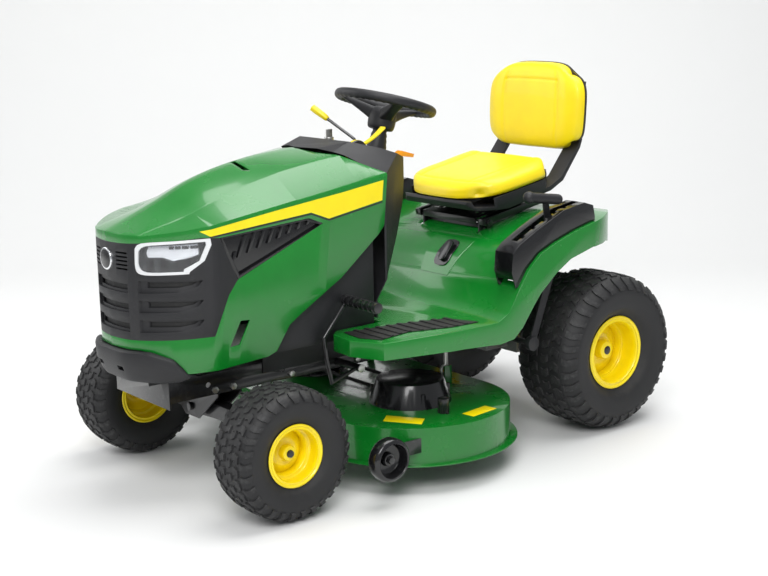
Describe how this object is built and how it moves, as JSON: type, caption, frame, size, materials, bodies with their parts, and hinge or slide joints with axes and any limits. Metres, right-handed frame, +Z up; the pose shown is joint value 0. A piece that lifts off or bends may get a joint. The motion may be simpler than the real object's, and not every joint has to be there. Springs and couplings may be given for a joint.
{
  "type": "riding lawn mower",
  "caption": "Riding lawn mower with tilting hood, steered front axle, lifting two-blade deck, sliding and tilting seat, pedals and hand levers.",
  "frame": {"origin": "centre of the machine's outline on the ground", "axes": "+Z up, front of the machine along -Y, machine's left side along +X"},
  "size_m": [1.2779, 1.814, 1.1499],
  "materials": {
    "green_paint": "gloss",
    "black_paint": "satin",
    "yellow_paint": "gloss",
    "charcoal_plastic": "matte",
    "gloss_black_plastic": "gloss",
    "clear_lens": "clear",
    "tyre_rubber": "matte",
    "yellow_vinyl": "satin",
    "yellow_plastic": "gloss",
    "orange_plastic": "gloss",
    "zinc_steel": "satin",
    "cast_aluminium": "satin",
    "rubber_black": "matte",
    "natural_plastic": "matte"
  },
  "bodies": {
    "chassis": {"frame": "black_paint", "hitch_plate": "black_paint", "transaxle": "cast_aluminium", "engine_block": "cast_aluminium", "engine_shroud": "gloss_black_plastic", "muffler": "zinc_steel", "battery": "charcoal_plastic", "fuel_tank": "natural_plastic", "frame_bolts": "zinc_steel", "dash_cowl": "charcoal_plastic", "side_shields": "charcoal_plastic", "fender_body": "green_paint", "consoles": "gloss_black_plastic", "foot_mats": "rubber_black", "seat_hinge": "zinc_steel"},
    "hood": {"hood_shell": "green_paint", "grille": "charcoal_plastic", "headlamps": "clear_lens", "bumper": "charcoal_plastic"},
    "fuel_cap": {"fuel_cap": "gloss_black_plastic"},
    "key": {"ignition_key": "zinc_steel"},
    "front_axle": {"axle_beam": "black_paint"},
    "left_spindle": {"spindle_left": "black_paint"},
    "right_spindle": {"spindle_right": "black_paint"},
    "tie_rod": {"tie_rod": "zinc_steel"},
    "drag_link": {"drag_link": "zinc_steel"},
    "steering_sector": {"steering_sector": "zinc_steel"},
    "lower_steering_shaft": {"steering_lower_shaft": "zinc_steel"},
    "steering_column": {"steering_shaft": "zinc_steel", "steering_wheel": "charcoal_plastic"},
    "front_left_wheel": {"tyre_front_left": "tyre_rubber", "rim_front_left": "yellow_paint"},
    "front_right_wheel": {"tyre_front_right": "tyre_rubber", "rim_front_right": "yellow_paint"},
    "rear_left_wheel": {"tyre_rear_left": "tyre_rubber", "rim_rear_left": "yellow_paint"},
    "rear_right_wheel": {"tyre_rear_right": "tyre_rubber", "rim_rear_right": "yellow_paint"},
    "seat_base": {"seat_plate": "black_paint"},
    "seat": {"seat_pan": "charcoal_plastic", "seat_cushion": "yellow_vinyl", "back_cushion": "yellow_vinyl"},
    "lift_lever": {"lift_lever": "charcoal_plastic"},
    "lift_links": {"lift_links": "zinc_steel"},
    "deck": {"deck_shell": "green_paint", "spindle_housings": "cast_aluminium", "deck_belt": "rubber_black", "belt_covers": "gloss_black_plastic", "deck_brackets": "black_paint"},
    "left_blade": {"blade_left": "black_paint"},
    "right_blade": {"blade_right": "black_paint"},
    "chute": {"chute_deflector": "charcoal_plastic"},
    "left_gauge_wheel": {"gauge_wheel_left": "gloss_black_plastic"},
    "right_gauge_wheel": {"gauge_wheel_right": "gloss_black_plastic"},
    "engage_lever": {"engage_lever": "yellow_plastic"},
    "throttle": {"throttle_lever": "yellow_plastic"},
    "parking_brake": {"parking_brake_lever": "orange_plastic"},
    "brake_pedal": {"brake_pedal": "black_paint"},
    "forward_pedal": {"forward_pedal": "black_paint"},
    "reverse_pedal": {"reverse_pedal": "black_paint"}
  },
  "joints": [
    {"name": "hood_tilt", "type": "hinge", "parent": "chassis", "child": "hood", "pos_m": [0.061, -0.841, 0.374], "axis": [1, 0, 0], "range_deg": [0, 65]},
    {"name": "fuel_cap_turn", "type": "hinge", "parent": "chassis", "child": "fuel_cap", "pos_m": [-0.009, 0.414, 0.65], "axis": [0, 0, 1], "range_deg": [0, 90]},
    {"name": "key_turn", "type": "hinge", "parent": "chassis", "child": "key", "pos_m": [-0.049, -0.051, 0.944], "axis": [0, 0, 1], "range_deg": [0, 60]},
    {"name": "axle_rock", "type": "hinge", "parent": "chassis", "child": "front_axle", "pos_m": [0.061, -0.609, 0.232], "axis": [0, 1, 0], "range_deg": [-5, 5]},
    {"name": "steering_wheel_turn", "type": "hinge", "parent": "chassis", "child": "steering_column", "pos_m": [0.061, 0.088, 1.056], "axis": [0, 0.279, 0.9603], "range_deg": [-120, 120]},
    {"name": "lower_shaft_turn", "type": "hinge", "parent": "chassis", "child": "lower_steering_shaft", "pos_m": [0.061, -0.07934, 0.309], "axis": [0, 0, 1], "range_deg": [-121, 121]},
    {"name": "sector_turn", "type": "hinge", "parent": "chassis", "child": "steering_sector", "pos_m": [0.061, -0.17534, 0.309], "axis": [0, 0, 1], "range_deg": [-24.5, 24.5]},
    {"name": "left_steer", "type": "hinge", "parent": "front_axle", "child": "left_spindle", "pos_m": [0.359, -0.609, 0.232], "axis": [0, 0, 1], "range_deg": [-24.5, 24.5]},
    {"name": "right_steer", "type": "hinge", "parent": "front_axle", "child": "right_spindle", "pos_m": [-0.237, -0.609, 0.232], "axis": [0, 0, 1], "range_deg": [-24.5, 24.5]},
    {"name": "tie_rod_pivot", "type": "hinge", "parent": "left_spindle", "child": "tie_rod", "pos_m": [0.359, -0.514, 0.255], "axis": [0, 0, 1], "range_deg": [-24.5, 24.5]},
    {"name": "drag_link_pivot", "type": "hinge", "parent": "left_spindle", "child": "drag_link", "pos_m": [0.264, -0.609, 0.278], "axis": [0, 0, 1], "range_deg": [-24.5, 24.5]},
    {"name": "front_left_roll", "type": "hinge", "parent": "left_spindle", "child": "front_left_wheel", "pos_m": [0.4595, -0.609, 0.186], "axis": [1, 0, 0], "continuous": true},
    {"name": "rear_left_roll", "type": "hinge", "parent": "chassis", "child": "rear_left_wheel", "pos_m": [0.425, 0.639, 0.252], "axis": [1, 0, 0], "continuous": true},
    {"name": "front_right_roll", "type": "hinge", "parent": "right_spindle", "child": "front_right_wheel", "pos_m": [-0.3375, -0.609, 0.186], "axis": [1, 0, 0], "continuous": true},
    {"name": "rear_right_roll", "type": "hinge", "parent": "chassis", "child": "rear_right_wheel", "pos_m": [-0.303, 0.639, 0.252], "axis": [1, 0, 0], "continuous": true},
    {"name": "seat_tilt", "type": "hinge", "parent": "chassis", "child": "seat_base", "pos_m": [0.061, 0.36065, 0.66997], "axis": [1, 0, 0], "range_deg": [0, 50]},
    {"name": "seat_slide", "type": "slide", "parent": "seat_base", "child": "seat", "axis": [0, 0.9848, 0.1736], "range_m": [-0.04, 0.04]},
    {"name": "lift_lever_turn", "type": "hinge", "parent": "chassis", "child": "lift_lever", "pos_m": [0.061, 0.309, 0.33], "axis": [1, 0, 0], "range_deg": [0, 18]},
    {"name": "deck_lift", "type": "slide", "parent": "chassis", "child": "deck", "axis": [0, 0, 1], "range_m": [-0.048, 0]},
    {"name": "lift_link_turn", "type": "hinge", "parent": "lift_lever", "child": "lift_links", "pos_m": [0.061, 0.159, 0.33], "axis": [1, 0, 0], "range_deg": [-18.1, 0.1]},
    {"name": "left_blade_spin", "type": "hinge", "parent": "deck", "child": "left_blade", "pos_m": [0.317, -0.043, 0.105], "axis": [0, 0, 1], "continuous": true},
    {"name": "left_gauge_roll", "type": "hinge", "parent": "deck", "child": "left_gauge_wheel", "pos_m": [0.591, -0.346, 0.134], "axis": [1, 0, 0], "continuous": true},
    {"name": "right_blade_spin", "type": "hinge", "parent": "deck", "child": "right_blade", "pos_m": [-0.195, -0.043, 0.105], "axis": [0, 0, 1], "continuous": true},
    {"name": "right_gauge_roll", "type": "hinge", "parent": "deck", "child": "right_gauge_wheel", "pos_m": [-0.469, -0.346, 0.134], "axis": [1, 0, 0], "continuous": true},
    {"name": "chute_lift", "type": "hinge", "parent": "deck", "child": "chute", "pos_m": [-0.409, -0.077, 0.198], "axis": [0, 1, 0], "range_deg": [0, 70], "stiffness_Nm_per_rad": 1, "springref_deg": -17.19},
    {"name": "engage_pull", "type": "slide", "parent": "chassis", "child": "engage_lever", "axis": [0, 0, 1], "range_m": [0, 0.025]},
    {"name": "throttle_turn", "type": "hinge", "parent": "chassis", "child": "throttle", "pos_m": [0.161, -0.106, 0.925], "axis": [1, 0, 0], "range_deg": [0, 40]},
    {"name": "parking_brake_turn", "type": "hinge", "parent": "chassis", "child": "parking_brake", "pos_m": [0.186, 0.019, 0.872], "axis": [1, 0, 0], "range_deg": [0, 15]},
    {"name": "brake_pedal_press", "type": "hinge", "parent": "chassis", "child": "brake_pedal", "pos_m": [0.061, -0.233, 0.32], "axis": [1, 0, 0], "range_deg": [0, 18], "stiffness_Nm_per_rad": 8, "springref_deg": -28.65},
    {"name": "forward_pedal_press", "type": "hinge", "parent": "chassis", "child": "forward_pedal", "pos_m": [0.061, -0.233, 0.32], "axis": [1, 0, 0], "range_deg": [0, 18], "stiffness_Nm_per_rad": 8, "springref_deg": -28.65},
    {"name": "reverse_pedal_press", "type": "hinge", "parent": "chassis", "child": "reverse_pedal", "pos_m": [0.061, -0.233, 0.32], "axis": [1, 0, 0], "range_deg": [0, 18], "stiffness_Nm_per_rad": 8, "springref_deg": -28.65}
  ],
  "couplings": [
    {"joint": "lower_shaft_turn", "follows": "steering_wheel_turn", "ratio": 1},
    {"joint": "sector_turn", "follows": "steering_wheel_turn", "ratio": 0.2},
    {"joint": "left_steer", "follows": "steering_wheel_turn", "ratio": 0.2},
    {"joint": "right_steer", "follows": "steering_wheel_turn", "ratio": 0.2},
    {"joint": "tie_rod_pivot", "follows": "steering_wheel_turn", "ratio": -0.2},
    {"joint": "drag_link_pivot", "follows": "steering_wheel_turn", "ratio": -0.2},
    {"joint": "deck_lift", "follows": "lift_lever_turn", "m_per_rad": -0.15},
    {"joint": "lift_link_turn", "follows": "lift_lever_turn", "ratio": -1},
    {"joint": "right_blade_spin", "follows": "left_blade_spin", "ratio": 1}
  ]
}
